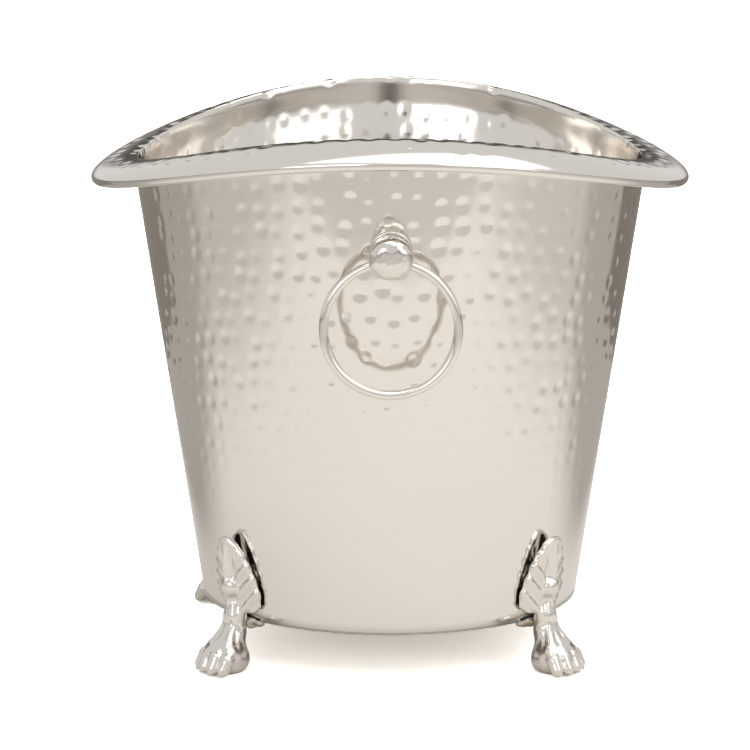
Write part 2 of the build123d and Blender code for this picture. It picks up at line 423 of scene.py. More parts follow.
BLOWS = (0.35, 1.45)  # the lightest and the heaviest blow's share of the dent depth
PLANISHED = 0.12  # share of the dents' depth that is left low on the wall
DENTS_FROM, DENTS_PAST_NECK = 12 * MM, 4 * MM  # the dents' ends above the underside and the neck
RIM_ROW_OUT, RIM_ROW_PITCH = 2 * MM, 9 * MM  # the rim's first row from the crest, and the next from it
RIM_FALL = 16.0  # the rim's upper face falls by this times its reach squared, in metres


def dent_falloff(tree, distance, radius):
    """A round shallow mark: 1 at its centre and 0 from its radius on."""
    share = calc(tree, "DIVIDE", distance, radius)
    bowl = calc(tree, "SUBTRACT", 1.0, calc(tree, "MULTIPLY", share, share), clamp=True)
    return calc(tree, "POWER", bowl, 1.5)


def chance(tree, low, high, seed, key=None):
    """A random number for each point, or for each key."""
    feeds = {2: low, 3: high, "Seed": seed}
    if key is not None:
        feeds["ID"] = key
    return put(tree, "FunctionNodeRandomValue", feeds, data_type="FLOAT").outputs[1]


def mark_grid(tree, given, first_seed):
    """Each mark's column and row in the grid, and how far it wanders along and across them."""
    index = put(tree, "GeometryNodeInputIndex").outputs[0]
    column = calc(tree, "MODULO", index, given["Columns"])
    row = calc(tree, "FLOOR", calc(tree, "DIVIDE", index, given["Columns"]))
    seeds = [calc(tree, "ADD", given["Seed"], first_seed + n) for n in (0, 1)]
    wander = [calc(tree, "MULTIPLY", chance(tree, -0.5, 0.5, seed), given["Jitter"]) for seed in seeds]
    return column, row, wander


def angle_and_swing(tree, given, place):
    """The angle of a place along a row, and the saddle's rise (1) or dip (-1) there."""
    angle = calc(tree, "MULTIPLY", calc(tree, "DIVIDE", place, given["Columns"]), 2 * math.pi)
    return angle, calc(tree, "COSINE", calc(tree, "MULTIPLY", angle, 2.0))


def around_axis(tree, angle, radius, height):
    """A position from its angle from the front, its radius and its height."""
    across = calc(tree, "MULTIPLY", calc(tree, "SINE", angle), radius)
    depth = calc(tree, "MULTIPLY", calc(tree, "COSINE", angle), radius)
    feeds = {"X": across, "Y": calc(tree, "MULTIPLY", depth, -1.0), "Z": height}
    return put(tree, "ShaderNodeCombineXYZ", feeds).outputs[0]


def wall_centres(tree, given):
    """Places of the wall's hammer marks: loose rows that follow the saddle towards the rim."""
    column, row, wander = mark_grid(tree, given, 0)
    shift = chance(tree, 0.0, 1.0, calc(tree, "ADD", given["Seed"], 2), row)
    place = calc(tree, "ADD", calc(tree, "ADD", column, shift), wander[0])
    angle, swing = angle_and_swing(tree, given, place)
    neck = calc(tree, "MULTIPLY_ADD", given["Crest Swing"], swing, given["Neck Height"])
    level = calc(tree, "ADD", calc(tree, "ADD", row, 0.5), wander[1])
    share = calc(tree, "DIVIDE", level, given["Rows"])
    rise = calc(tree, "SUBTRACT", neck, given["Lowest"])
    height = calc(tree, "MULTIPLY_ADD", share, rise, given["Lowest"])
    above = calc(tree, "SUBTRACT", height, given["Underside"])
    radius = calc(tree, "MULTIPLY_ADD", above, given["Wall Slope"], given["Bottom Radius"])
    return around_axis(tree, angle, radius, height)


def rim_centres(tree, given):
    """Places of the rim's hammer marks: one row just outside the crest and one further out."""
    column, row, wander = mark_grid(tree, given, 3)
    place = calc(tree, "ADD", calc(tree, "MULTIPLY_ADD", row, 0.5, column), wander[0])
    angle, swing = angle_and_swing(tree, given, place)
    crest = calc(tree, "MULTIPLY_ADD", given["Crest Swing"], swing, given["Crest Height"])
    out = calc(tree, "MULTIPLY", calc(tree, "ADD", row, wander[1]), given["Row Pitch"])
    swung = calc(tree, "MULTIPLY", given["Crest Swing"], swing)
    flare = calc(tree, "MULTIPLY", given["Wall Slope"], swung)
    radius = calc(tree, "ADD", calc(tree, "ADD", given["Crest Radius"], flare), out)
    fall = calc(tree, "MULTIPLY", calc(tree, "MULTIPLY", out, out), RIM_FALL)
    return around_axis(tree, angle, radius, calc(tree, "SUBTRACT", crest, fall))


def dent_tree(name, extra_inputs, centres, push):
    """Geometry Nodes that press hammer marks into a surface at the centres' places."""
    number, whole = "NodeSocketFloat", "NodeSocketInt"
    inputs = [
        ("Geometry", "NodeSocketGeometry", None),
        ("Material", "NodeSocketMaterial", None),
        ("Columns", whole, 72),
        ("Rows", whole, 20),
        ("Dent Radius", number, 0.005),
        ("Dent Depth", number, 0.0003),
        ("Jitter", number, 0.3),
        ("Seed", whole, 1),
        ("Fade Low", number, 0.0),
        ("Fade High", number, 0.001),
        ("Wall Slope", number, 0.15),
        ("Crest Swing", number, 0.0116),
        *[(label, number, 0.0) for label in extra_inputs],
    ]
    tree, given, end = new_tree(
        name, "GeometryNodeTree", inputs, [("Geometry", "NodeSocketGeometry")]
    )
    count = calc(tree, "MULTIPLY", given["Columns"], given["Rows"])
    marks = put(
        tree, "GeometryNodePoints", {"Count": count, "Position": centres(tree, given)}
    ).outputs[0]
    near = put(tree, "GeometryNodeProximity", {0: marks}, target_element="POINTS")
    nearest = put(tree, "GeometryNodeSampleNearest", {0: marks}, domain="POINT").outputs[0]
    force = chance(tree, *BLOWS, given["Seed"], nearest)
    bowl = dent_falloff(tree, near.outputs["Distance"], given["Dent Radius"])
    place = put(tree, "GeometryNodeInputPosition").outputs[0]
    height = put(tree, "ShaderNodeSeparateXYZ", {0: place}).outputs[2]
    fade = smooth_step(tree, height, given["Fade Low"], given["Fade High"], PLANISHED, 1.0)
    mark = calc(tree, "MULTIPLY", calc(tree, "MULTIPLY", bowl, force), fade)
    depth = calc(tree, "MULTIPLY", mark, given["Dent Depth"])
    offset = scaled(tree, push(tree, place, given), depth)
    moved = put(tree, "GeometryNodeSetPosition", {0: given["Geometry"], "Offset": offset})
    stored = put(
        tree, "GeometryNodeStoreNamedAttribute",
        {0: moved.outputs[0], "Name": name, "Value": mark}, data_type="FLOAT", domain="POINT",
    )
    end_with(tree, end, stored.outputs[0], given["Material"])
    return tree


def push_through_wall(tree, place, given):
    """Squarely through the sheet, towards the inside of the bucket."""
    flat = vector_calc(tree, "MULTIPLY", place, (-1.0, -1.0, 0.0))
    level = vector_calc(tree, "NORMALIZE", flat)
    up = put(tree, "ShaderNodeCombineXYZ", {"Z": given["Wall Slope"]}).outputs[0]
    return vector_calc(tree, "NORMALIZE", vector_calc(tree, "ADD", level, up))


def push_into_face(tree, place, given):
    """Against the face's own normal."""
    normal = put(tree, "GeometryNodeInputNormal").outputs[0]
    return vector_calc(tree, "MULTIPLY", normal, (-1.0, -1.0, -1.0))


def dent_step(scene, name, centres, push, given, extra):
    """One round of hammering: its tree, built once, and its values; extra inputs are its own."""
    body, marks = scene.bucket_body, scene.bucket_marks
    tree = bpy.data.node_groups.get(name) or dent_tree(name, extra, centres, push)
    shared = {
        "Columns": marks.columns,
        "Dent Radius": marks.radius,
        "Jitter": marks.jitter,
        "Seed": marks.seed,
        "Wall Slope": body.wall_slope,
        "Crest Swing": body.crest_swing,
    }
    return tree, {**shared, **given, **extra}


def wall_step(scene):
    """The wall's hammering: its tree and its values."""
    body, marks = scene.bucket_body, scene.bucket_marks
    given = {
        "Rows": marks.rows,
        "Dent Depth": marks.depth,
        "Fade Low": marks.fade_low,
        "Fade High": marks.fade_high,
    }
    extra = {
        "Neck Height": body.crest_high - body.crest_swing - body.neck_drop + DENTS_PAST_NECK,
        "Lowest": body.underside + DENTS_FROM,
        "Underside": body.underside,
        "Bottom Radius": body.bottom_radius,
    }
    return dent_step(scene, "wall_dent", wall_centres, push_through_wall, given, extra)


def rim_step(scene):
    """The rim's hammering: its tree and its values."""
    body, marks = scene.bucket_body, scene.bucket_marks
    mean = body.crest_high - body.crest_swing
    neck = mean - body.neck_drop - body.underside
    extra = {
        "Crest Height": mean,
        "Crest Radius": body.bottom_radius + body.wall_slope * neck + body.crest_out + RIM_ROW_OUT,
        "Row Pitch": RIM_ROW_PITCH,
    }
    given = {"Rows": 2, "Dent Depth": marks.rim_depth}
    return dent_step(scene, "rim_dent", rim_centres, push_into_face, given, extra)


# --- Ring handles --------------------------------------------------------------------------


def ring_tree():
    """Geometry Nodes that bend a wire of uneven thickness into a closed ring."""
    inputs = [
        ("Geometry", "NodeSocketGeometry", None),
        ("Material", "NodeSocketMaterial", None),
        ("Radius", "NodeSocketFloat", 0.03),
        ("Wire Radius", "NodeSocketFloat", 0.0022),
        ("Place", "NodeSocketVector", (0, 0, 0)),
        ("Seed", "NodeSocketFloat", 1.0),
    ]
    tree, given, end = new_tree(
        "ring_wire", "GeometryNodeTree", inputs, [("Geometry", "NodeSocketGeometry")]
    )
    feeds = {"Resolution": 220, "Radius": given["Radius"]}
    path = put(tree, "GeometryNodeCurvePrimitiveCircle", feeds)
    place = put(tree, "GeometryNodeInputPosition").outputs[0]
    shift = put(tree, "ShaderNodeCombineXYZ", {"Z": given["Seed"]}).outputs[0]
    worn = noise(tree, vector_calc(tree, "ADD", place, shift), 70.0, 2.0)
    share = smooth_step(tree, worn, 0.3, 0.7, 0.94, 1.0)
    thickness = calc(tree, "MULTIPLY", given["Wire Radius"], share)
    sized = put(tree, "GeometryNodeSetCurveRadius", {0: path.outputs[0], "Radius": thickness})
    section = put(tree, "GeometryNodeCurvePrimitiveCircle", {"Resolution": 24, "Radius": 1.0})
    radius = put(tree, "GeometryNodeInputRadius").outputs[0]
    feeds = {"Curve": sized.outputs[0], "Profile Curve": section.outputs[0], "Scale": radius}
    tube = put(tree, "GeometryNodeCurveToMesh", feeds)
    upright = put(
        tree, "GeometryNodeTransform",
        {0: tube.outputs[0], "Translation": given["Place"], "Rotation": (math.pi / 2, 0, 0)},
    )
    end_with(tree, end, upright.outputs[0], given["Material"])
    return tree


# --- Castings: solids described by their distance field, in millimetres ----------------------


def soft_union(first, second, blend):
    """Union of two fields with a fillet about as large as blend."""
    h = np.clip(0.5 + 0.5 * (second - first) / blend, 0, 1)
    return second * (1 - h) + first * h - blend * h * (1 - h)


def soft_cut(solid, tool, blend):
    """A solid less a tool, with an eased edge."""
    return -soft_union(-solid, tool, blend)


def limb(points, start, end, start_radius, end_radius):
    """A round-ended limb that tapers between two points."""
    a, b = np.array(start, float), np.array(end, float)
    along = b - a
    t = np.clip((points - a) @ along / (along @ along), 0, 1)
    gap = np.linalg.norm(points - a - t[..., None] * along, axis=-1)
    return gap - (start_radius + (end_radius - start_radius) * t)


def pebble(points, centre, radii):
    """A rounded lump, close to an ellipsoid."""
    q = (points - np.array(centre, float)) / np.array(radii, float)
    size = np.linalg.norm(q, axis=-1)
    slope = np.linalg.norm(q / np.array(radii, float), axis=-1)
    return size * (size - 1) / np.maximum(slope, 1e-6)


def unevenness(points, cell, seed):
    """Smooth random values from -1 to 1 that change over about one cell."""
    lattice = np.random.default_rng(seed).uniform(-1, 1, (16, 16, 16))
    q = points / cell
    base = np.floor(q).astype(int)
    t = q - base
    t = t * t * (3 - 2 * t)
    total = 0
    for corner in np.ndindex(2, 2, 2):
        i, j, k = [(base[..., n] + corner[n]) % 16 for n in range(3)]
        weight = np.prod([t[..., n] if corner[n] else 1 - t[..., n] for n in range(3)], axis=0)
        total = total + weight * lattice[i, j, k]
    return total


MASK_REACH = 1.3  # hollows and high points are judged over this distance


def slope_of(field, points, reach=0.05):
    """Gradient of a field at points."""
    steps = np.eye(3) * reach
    return np.stack([field(points + s) - field(points - s) for s in steps], -1) / (2 * reach)


def surface_net(values):
    """Points, in grid steps, and four-sided faces where a grid of values crosses zero."""
    total = np.zeros((*(np.array(values.shape) - 1), 3))
    hits = np.zeros(total.shape[:3])
    crossings = []
    for axis in range(3):
        near = np.delete(values, -1, axis)
        far = np.delete(values, 0, axis)
        spots = np.argwhere((near < 0) != (far < 0))
        at = tuple(spots.T)
        places = spots.astype(float)
        places[:, axis] += near[at] / (near[at] - far[at])
        side, up = np.eye(3, dtype=int)[(axis + 1) % 3], np.eye(3, dtype=int)[(axis + 2) % 3]
        around = [spots, spots - side, spots - side - up, spots - up]
        for cells in around:
            np.add.at(total, tuple(cells.T), places)
            np.add.at(hits, tuple(cells.T), 1)
        crossings.append((around, near[at] < 0))
    number = np.full(hits.shape, -1)
    used = hits > 0
    number[used] = np.arange(used.sum())
    faces = []
    for around, outward in crossings:
        quad = np.stack([number[tuple(cells.T)] for cells in around], -1)
        faces += [quad[outward], quad[~outward][:, ::-1]]
    return total[used] / hits[used][:, None], np.concatenate(faces)


def cast_mesh(name, field, low, high, cell, material):
    """The closed surface of a field, with masks of its hollows and of its rubbed high points."""
    low = np.array(low, float)
    counts = np.ceil((np.array(high, float) - low) / cell).astype(int) + 1
    grid = np.stack(np.meshgrid(*[np.arange(n) for n in counts], indexing="ij"), -1)
    net, faces = surface_net(field(low + grid * cell))
    points = low + net * cell
    for _ in range(3):  # each pass brings the points closer to the true surface
        normal = slope_of(field, points)
        points -= field(points)[:, None] * normal / np.sum(normal**2, -1, keepdims=True)
    normal = slope_of(field, points)
    normal /= np.linalg.norm(normal, axis=-1, keepdims=True)
    mesh = new_mesh(name, points * MM, faces, material)
    # the hollow mask drives the materials' painted shade
    hollow = 1 - field(points + normal * MASK_REACH) / MASK_REACH
    ridge = 1 + field(points - normal * MASK_REACH) / MASK_REACH
    add_mask(mesh, "hollow", np.clip(hollow, 0, 1))
    add_mask(mesh, "ridge", np.clip(ridge, 0, 1))
    return mesh, points


class FootShape:
    """One claw foot at the front: x across, y out from the bucket's axis, z up."""

    LEAF_OUTLINE = (  # share of the leaf's height, and its half width there as a share of the greatest
        (-0.06, 0.0, 0.08, 0.2, 0.4, 0.6, 0.78, 0.92, 1.0, 1.03),
        (0.45, 0.78, 0.97, 1.0, 0.93, 0.79, 0.60, 0.38, 0.16, 0.0),
    )
    LOBE_PITCH, LOBE_SLANT = 8.6, 1.15
    TOES = ((-8.0, 6.0, 0), (-2.8, 8.2, 1), (2.8, 8.2, 1), (8.0, 6.0, 0))  # across, reach and lift
    BEAD_SPREAD = 0.108  # the solder reaches this far to each side of the foot, in radians

    def __init__(self, sizes, body):
        self.sizes, self.body = sizes, body
        self.low = sizes.leaf_low / MM
        self.height = sizes.leaf_height / MM
        self.wide = sizes.leaf_half_width / MM
        self.ankle_place = sizes.ankle_radius / MM
        self.paw_place = sizes.paw_radius / MM

    def wall_face(self, z):
        """Radius of the wall's outer face at a height."""
        body = self.body
        return body.bottom_radius / MM + body.wall_slope * (z - body.underside / MM)

    def core(self, points):
        """Field of the bucket's outside, as a solid cone above its bottom edge."""
        x, y, z = np.moveaxis(points, -1, 0)
        lean = math.sqrt(1 + self.body.wall_slope**2)
        side = (np.hypot(x, y) - self.wall_face(z)) / lean
        return np.maximum(side, self.body.underside / MM - z)

    def leaf(self, points):
        """Acanthus leaf: two bevelled halves with a middle rib, side veins and lobed edges."""
        x, y, z = np.moveaxis(points, -1, 0)
        across = np.abs(x)
        v = (z - self.low) / self.height
        outline = np.interp(v, *self.LEAF_OUTLINE)
        slanted = z - self.low - self.LOBE_SLANT * across - 1.5
        wave = np.cos(2 * math.pi * slanted / self.LOBE_PITCH)
        edge = (across - self.wide * outline * (1 + 0.018 * wave)) * 0.86
        ends = np.maximum(self.low - 1.2 - z, z - self.low - self.height) * 0.9
        middle = self.wall_face(z) + self.sizes.leaf_gap / MM + 1.3
        middle = middle - 0.17 * across - 0.006 * across**2
        thick = self.sizes.leaf_thickness / MM / 2
        upper = np.clip((0.92 - v) * 3, 0, 1)
        groove = 0.75 * np.exp(-(((across - 3.4) / 1.3) ** 2))
        rib = 1.9 * np.exp(-((across / 1.5) ** 2)) - groove
        lobes = 0.5 * wave * np.clip((across - 2.6) / 3.0, 0, 1)
        crown = 1.1 * np.cos(np.clip(across / self.wide, 0, 1) * math.pi / 2)
        relief = (rib + lobes) * upper + crown
        front = (y - middle - thick - relief) * 0.85
        back = (middle - thick - y) * 0.95
        plate = soft_union(-front, -back, 0.7)
        return -soft_union(plate, -np.maximum(edge, ends), 1.3)

    def ankle(self, points):
        """The ankle, from the foot of the leaf down into the paw, with its tendons."""
        r, p = self.ankle_place, self.paw_place
        bones = [
            ((0, r - 0.6, 35), (0, r - 0.8, 27), 3.0, 5.0),
            ((0, r - 0.8, 27), (0, r + 0.0, 19), 5.0, 5.1),
            ((0, r + 0.0, 19), (0, p - 4.6, 11), 5.1, 8.0),
        ]
        shape = limb(points, *bones[0])
        for bone in bones[1:]:
            shape = soft_union(shape, limb(points, *bone), 2.6)
        for side in (-1, 0, 1):
            top, bend = (side * 2.0, r + 2.2, 32), (side * 2.6, r + 3.7, 21)
            toe = (side * 5.4, p + 0.6, 12.8)
            shape = soft_union(shape, limb(points, top, bend, 0.9, 1.6), 1.0)
            shape = soft_union(shape, limb(points, bend, toe, 1.6, 2.4), 1.0)
        return shape

    def paw(self, points):
        """The paw: a broad pad with four toes, each with a knuckle and a blunt claw."""
        p = self.paw_place
        shape = pebble(points, (0, p - 1.8, 7.4), (10.8, 9.8, 8.6))
        shape = soft_union(shape, pebble(points, (0, p - 6.6, 5.8), (8.8, 6.4, 6.6)), 3)
        for across, reach, lift in self.TOES:
            knuckle = (across * 0.82, p + 0.2, 10.4 + lift)
            middle = (across * 0.98, p + reach - 2.6, 8.0 + lift * 0.6)
            tip = (across * 1.03, p + reach, 3.9)
            toe = soft_union(
                limb(points, knuckle, middle, 3.4, 3.3), limb(points, middle, tip, 3.3, 3.1), 0.8
            )
            root = (across * 1.03, p + reach + 1.0, 4.4)
            point = (across * 1.04, p + reach + 2.4, 1.8)
            claw = limb(points, root, point, 1.3, 0.8)
            shape = soft_union(shape, soft_union(toe, claw, 0.6), 0.9)
        return shape

    def field(self, points):
        """The whole foot, cut by the bucket's wall and by the floor."""
        z = points[..., 2]
        lug_z = self.low + 0.32 * self.height
        lug_y = self.wall_face(lug_z)
        lug = limb(points, (0, lug_y - 2, lug_z), (0, lug_y + 5, lug_z), 5.0, 5.6)
        shape = soft_union(self.leaf(points), lug, 1.6)
        shape = soft_union(shape, self.ankle(points), 2.4)
        shape = soft_union(shape, self.paw(points), 2.2)
        shape = shape + 0.16 * unevenness(points, 4.1, self.sizes.seed)
        shape = shape + 0.05 * unevenness(points, 1.3, self.sizes.seed + 1)
        shape = soft_cut(shape, self.core(points) - 0.05, 0.2)
        return -soft_union(-shape, z - 0.02, 0.35)

    def solder(self, points):
        """A lumpy bead of solder along the bucket's bottom edge, behind the foot."""
        x, y, z = np.moveaxis(points, -1, 0)
        radius = self.body.bottom_radius / MM - 1.0
        angle = np.clip(np.arctan2(x, y), -self.BEAD_SPREAD, self.BEAD_SPREAD)
        line = np.stack([radius * np.sin(angle), radius * np.cos(angle), 0 * z + 22.9], -1)
        taper = 1.5 * (angle / self.BEAD_SPREAD) ** 2
        bead = np.linalg.norm(points - line, axis=-1) - 3.0 + taper
        bead = bead + 0.95 * unevenness(points, 3.2, self.sizes.seed + 2)
        bead = soft_cut(bead, self.core(points) - 0.03, 0.2)
        return soft_cut(bead, self.field(points) - 0.03, 0.2)


class KnobShape:
    """A knob on the wall: x across, y up the wall, z squarely out from the wall's face."""

    SQUARENESS = 2.7  # 2 is a true ball, and more is blunter

    def __init__(self, sizes, body):
        self.sizes = sizes
        self.wall = body.bottom_radius + body.wall_slope * (sizes.knob_height - body.underside)
        self.wall_bow = self.wall / MM * math.sqrt(1 + body.wall_slope**2)
        self.lean = math.atan(body.wall_slope)

    def turned_solid(self, points, low, high, radius, ease):
        """A disc with eased edges between two heights."""
        x, y, z = np.moveaxis(points, -1, 0)
        side = np.hypot(x, y) - radius
        return -soft_union(-side, -np.maximum(low - z, z - high), ease)

    def head(self, points):
        """The pierced head with its stud."""
        s = self.sizes
        x, y, z = np.moveaxis(points, -1, 0)
        back, face = s.collar_end / MM - 0.4, s.knob_end / MM
        middle, half = (back + face) / 2, (face - back) / 2
        side = (np.hypot(x, y) / (s.knob_radius / MM)) ** self.SQUARENESS
        depth = (np.abs(z - middle) / half) ** self.SQUARENESS
        body = ((side + depth) ** (1 / self.SQUARENESS) - 1) * half
        body = body + 0.16 * unevenness(points, 3.2, 3) + 0.05 * unevenness(points, 1.2, 8)
        neck = self.turned_solid(points, s.collar_end / MM, 8, s.knob_radius / MM - 2.6, 0.3)
        body = soft_union(body, neck, 0.3)
        hole = np.hypot(y + s.hole_drop / MM, z - s.pivot_out / MM) - s.hole_radius / MM
        body = soft_cut(body, hole, 0.5)
        stud = self.turned_solid(points, -s.stud_end / MM, 6, s.stud_radius / MM, 0.3)
        return np.minimum(body, stud)

    def collar(self, points):
        """The collar between the knob and the wall, hollowed to the wall's curve."""
        s = self.sizes
        x, y, z = np.moveaxis(points, -1, 0)
        wall = self.wall_bow - np.hypot(x, z + self.wall_bow)
        disc = self.turned_solid(points, -3, s.collar_end / MM, s.collar_radius / MM, 1.1)
        disc = disc + 0.05 * unevenness(points, 2.6, 21)
        bore = np.hypot(x, y) - s.stud_radius / MM - 0.15
        return np.maximum(soft_cut(disc, bore, 0.2), wall + 0.03)

    def on_wall(self, points):
        """The shape's points, in metres, with the knob at its place on the front of the wall."""
        out = np.array([0, -math.cos(self.lean), -math.sin(self.lean)])
        up = np.array([0, -math.sin(self.lean), math.cos(self.lean)])
        seat = np.array([0, -self.wall, self.sizes.knob_height])
        return points * MM @ np.stack([np.array([1.0, 0, 0]), up, out]) + seat


# --- Materials -----------------------------------------------------------------------------


def shader_group(name, inputs, outputs, build):
    """A shader group of number sockets, built once; build gives one result for each output."""
    if name in bpy.data.node_groups:
        return bpy.data.node_groups[name]
    number = "NodeSocketFloat"
    tree, given, end = new_tree(
        name, "ShaderNodeTree",
        [(label, number, value) for label, value in inputs.items()],
        [(label, number) for label in outputs],
    )
    for label, result in zip(outputs, build(tree, given)):
        tree.links.new(result, end.inputs[label])
    return tree


def object_place(tree):
    """Object coordinates."""
    return put(tree, "ShaderNodeTexCoord").outputs["Object"]


def stretched(tree, vector, scale):
    """Coordinates scaled along each axis."""
    return put(tree, "ShaderNodeMapping", {"Vector": vector, "Scale": scale}).outputs[0]


def noise(tree, vector, scale, detail=3.0, roughness=0.55):
    """Smooth noise from 0 to 1."""
    feeds = {"Vector": vector, "Scale": scale, "Detail": detail, "Roughness": roughness}
    return put(tree, "ShaderNodeTexNoise", feeds).outputs["Fac"]


def shade_and_film_group():
    """Painted shade and tarnish: a mask of painted shade as strong as the Hollow input, plus random
    tarnish patches.
    """

    def build(tree, given):
        place = object_place(tree)
        broad = noise(tree, place, given["Scale"])
        fine = noise(tree, place, calc(tree, "MULTIPLY", given["Scale"], 7.0))
        patch = smooth_step(tree, calc(tree, "MULTIPLY_ADD", fine, 0.4, broad), 0.55, 0.95)
        # the Hollow input is painted shade; the patches are tarnish
        mask = calc(tree, "MULTIPLY_ADD", given["Hollow"], 1.0, calc(tree, "MULTIPLY", patch, 0.25))
        return [calc(tree, "MULTIPLY", mask, given["Amount"], clamp=True)]

    inputs = {"Scale": 30.0, "Hollow": 0.0, "Amount": 0.5}
    return shader_group("tarnish_film", inputs, ["Mask"], build)


def polish_group():
    """Polishing marks and fine scratches, as a height and a roughness mask."""

    def build(tree, given):
        squeeze = put(tree, "ShaderNodeCombineXYZ", {"X": 1.0, "Y": 1.0, "Z": given["Stretch"]})
        place = vector_calc(tree, "MULTIPLY", object_place(tree), squeeze.outputs[0])
        lines = noise(tree, place, calc(tree, "MULTIPLY", given["Scale"], 14.0), 4.0, 0.7)
        return [lines, noise(tree, place, given["Scale"], 4.0, 0.6)]

    return shader_group("polish_marks", {"Scale": 60.0, "Stretch": 0.1}, ["Height", "Haze"], build)


def grain_group():
    """Sand-cast grain with scattered pits, as a height."""

    def build(tree, given):
        place = object_place(tree)
        grain = noise(tree, place, given["Scale"], 4.0, 0.65)
        pit_scale = calc(tree, "MULTIPLY", given["Scale"], 0.3)
        feeds = {"Vector": place, "Scale": pit_scale, "Randomness": 1.0}
        spots = put(tree, "ShaderNodeTexVoronoi", feeds).outputs["Distance"]
        patches = noise(tree, place, calc(tree, "MULTIPLY", given["Scale"], 0.12))
        sparse = smooth_step(tree, patches, 0.55, 0.7)
        pit = calc(tree, "MULTIPLY", smooth_step(tree, spots, 0.3, 0.1), sparse)
        pit = calc(tree, "MULTIPLY", pit, given["Pits"])
        return [calc(tree, "SUBTRACT", grain, pit), pit]

    return shader_group("cast_grain", {"Scale": 900.0, "Pits": 0.5}, ["Height", "Pit"], build)


def grouped(tree, group, **values):
    """Places a shader group with its own values."""
    return put(tree, "ShaderNodeGroup", values, node_tree=group)


def mask_of(tree, name):
    """A mask stored on the piece."""
    return put(tree, "ShaderNodeAttribute", attribute_name=name).outputs["Fac"]


def emptied(owner):
    """The node tree of a material or world, with nothing in it."""
    owner.use_nodes = True
    owner.node_tree.nodes.clear()
    return owner.node_tree


def metal(name, build, metallic=1.0):
    """A metal material: build gives (colour, roughness, bump height, bump distance)."""
    if name in bpy.data.materials:
        return bpy.data.materials[name]
    material = bpy.data.materials.new(name)
    tree = emptied(material)
    tone, roughness, height, distance = build(tree, bpy.context.scene.bucket_finish)
    bump = put(tree, "ShaderNodeBump", {"Height": height, "Distance": distance, "Strength": 1.0})
    shader = put(
        tree, "ShaderNodeBsdfPrincipled",
        {"Base Color": tone, "Roughness": roughness, "Metallic": metallic, "Normal": bump.outputs[0]},
    )
    put(tree, "ShaderNodeOutputMaterial", {"Surface": shader.outputs[0]})
    return material


def hammered_nickel():
    """Polished hammered sheet, satin towards the bottom, with painted shade in the dents and random
    tarnish patches.
    """

    def build(tree, finish):
        place = object_place(tree)
        # painted shade: the dents are darkened, the rim's more than the wall's
        dent_shade = calc(tree, "MULTIPLY", mask_of(tree, "wall_dent"), 0.12)
        dent_shade = calc(tree, "MULTIPLY_ADD", mask_of(tree, "rim_dent"), 0.6, dent_shade)
        height = put(tree, "ShaderNodeSeparateXYZ", {0: place}).outputs[2]
        satin = smooth_step(tree, height, 0.15, 0.06)
        film_and_shade = grouped(tree, shade_and_film_group(), Scale=26.0, Hollow=dent_shade, Amount=0.4)
        tone = blended(tree, film_and_shade.outputs[0], finish.nickel, finish.tarnish_and_shade)
        marks = grouped(tree, polish_group(), Scale=42.0, Stretch=0.07)
        haze = smooth_step(tree, marks.outputs["Haze"], 0.35, 0.7, 0.0, 0.10)
        rough = calc(tree, "ADD", calc(tree, "MULTIPLY_ADD", satin, 0.18, 0.10), haze)
        brushed = noise(tree, stretched(tree, place, (1, 1, 0.05)), 90.0)
        bands = calc(tree, "MULTIPLY", brushed, satin)
        bump = calc(tree, "MULTIPLY_ADD", bands, 6.0, marks.outputs["Height"])
        return tone, rough, bump, 0.000012

    return metal("hammered_nickel", build)


def cast_nickel():
    """Plated casting: satin, rubbed bright on the high points, with painted shade in the hollows, random
    tarnish patches and darkened pits.
    """

    def build(tree, finish):
        hollow = smooth_step(tree, mask_of(tree, "hollow"), 0.12, 0.75)
        ridge = smooth_step(tree, mask_of(tree, "ridge"), 0.25, 0.8)
        grain = grouped(tree, grain_group(), Scale=800.0, Pits=0.9)
        # painted shade in the hollows, plus random tarnish patches
        film_and_shade = grouped(tree, shade_and_film_group(), Scale=120.0, Hollow=hollow, Amount=0.8)
        tone = blended(tree, ridge, finish.cast, finish.nickel_worn)
        tone = blended(tree, film_and_shade.outputs[0], tone, finish.tarnish_and_shade)
        # the pits are darkened towards the same brown
        pits = calc(tree, "MULTIPLY", grain.outputs["Pit"], 0.6)
        tone = blended(tree, pits, tone, finish.tarnish_and_shade)
        rough = calc(tree, "MULTIPLY_ADD", ridge, -0.12, 0.64)
        rough = calc(tree, "MULTIPLY_ADD", film_and_shade.outputs[0], 0.25, rough)
        return tone, rough, grain.outputs["Height"], 0.00010

    return metal("cast_nickel", build, 0.8)


def ring_nickel():
    """Ring wire: polished, with fine scratches."""

    def build(tree, finish):
        marks = grouped(tree, polish_group(), Scale=120.0, Stretch=1.0)
        film_and_shade = grouped(tree, shade_and_film_group(), Scale=60.0, Hollow=0.0, Amount=0.5)
        tone = blended(tree, film_and_shade.outputs[0], finish.nickel_worn, finish.tarnish_and_shade)
        rough = smooth_step(tree, marks.outputs["Haze"], 0.3, 0.7, 0.48, 0.62)
        return tone, rough, marks.outputs["Height"], 0.00003

    return metal("ring_nickel", build, 0.8)


def bright_steel():
    """Plain steel of the nuts and washers."""

    def build(tree, finish):
        marks = grouped(tree, polish_group(), Scale=200.0, Stretch=1.0)
        film_and_shade = grouped(tree, shade_and_film_group(), Scale=150.0, Hollow=0.0, Amount=0.6)
        tone = blended(tree, film_and_shade.outputs[0], finish.steel, finish.tarnish_and_shade)
        rough = smooth_step(tree, marks.outputs["Haze"], 0.3, 0.7, 0.28, 0.45)
        return tone, rough, marks.outputs["Height"], 0.00002

    return metal("bright_steel", build)


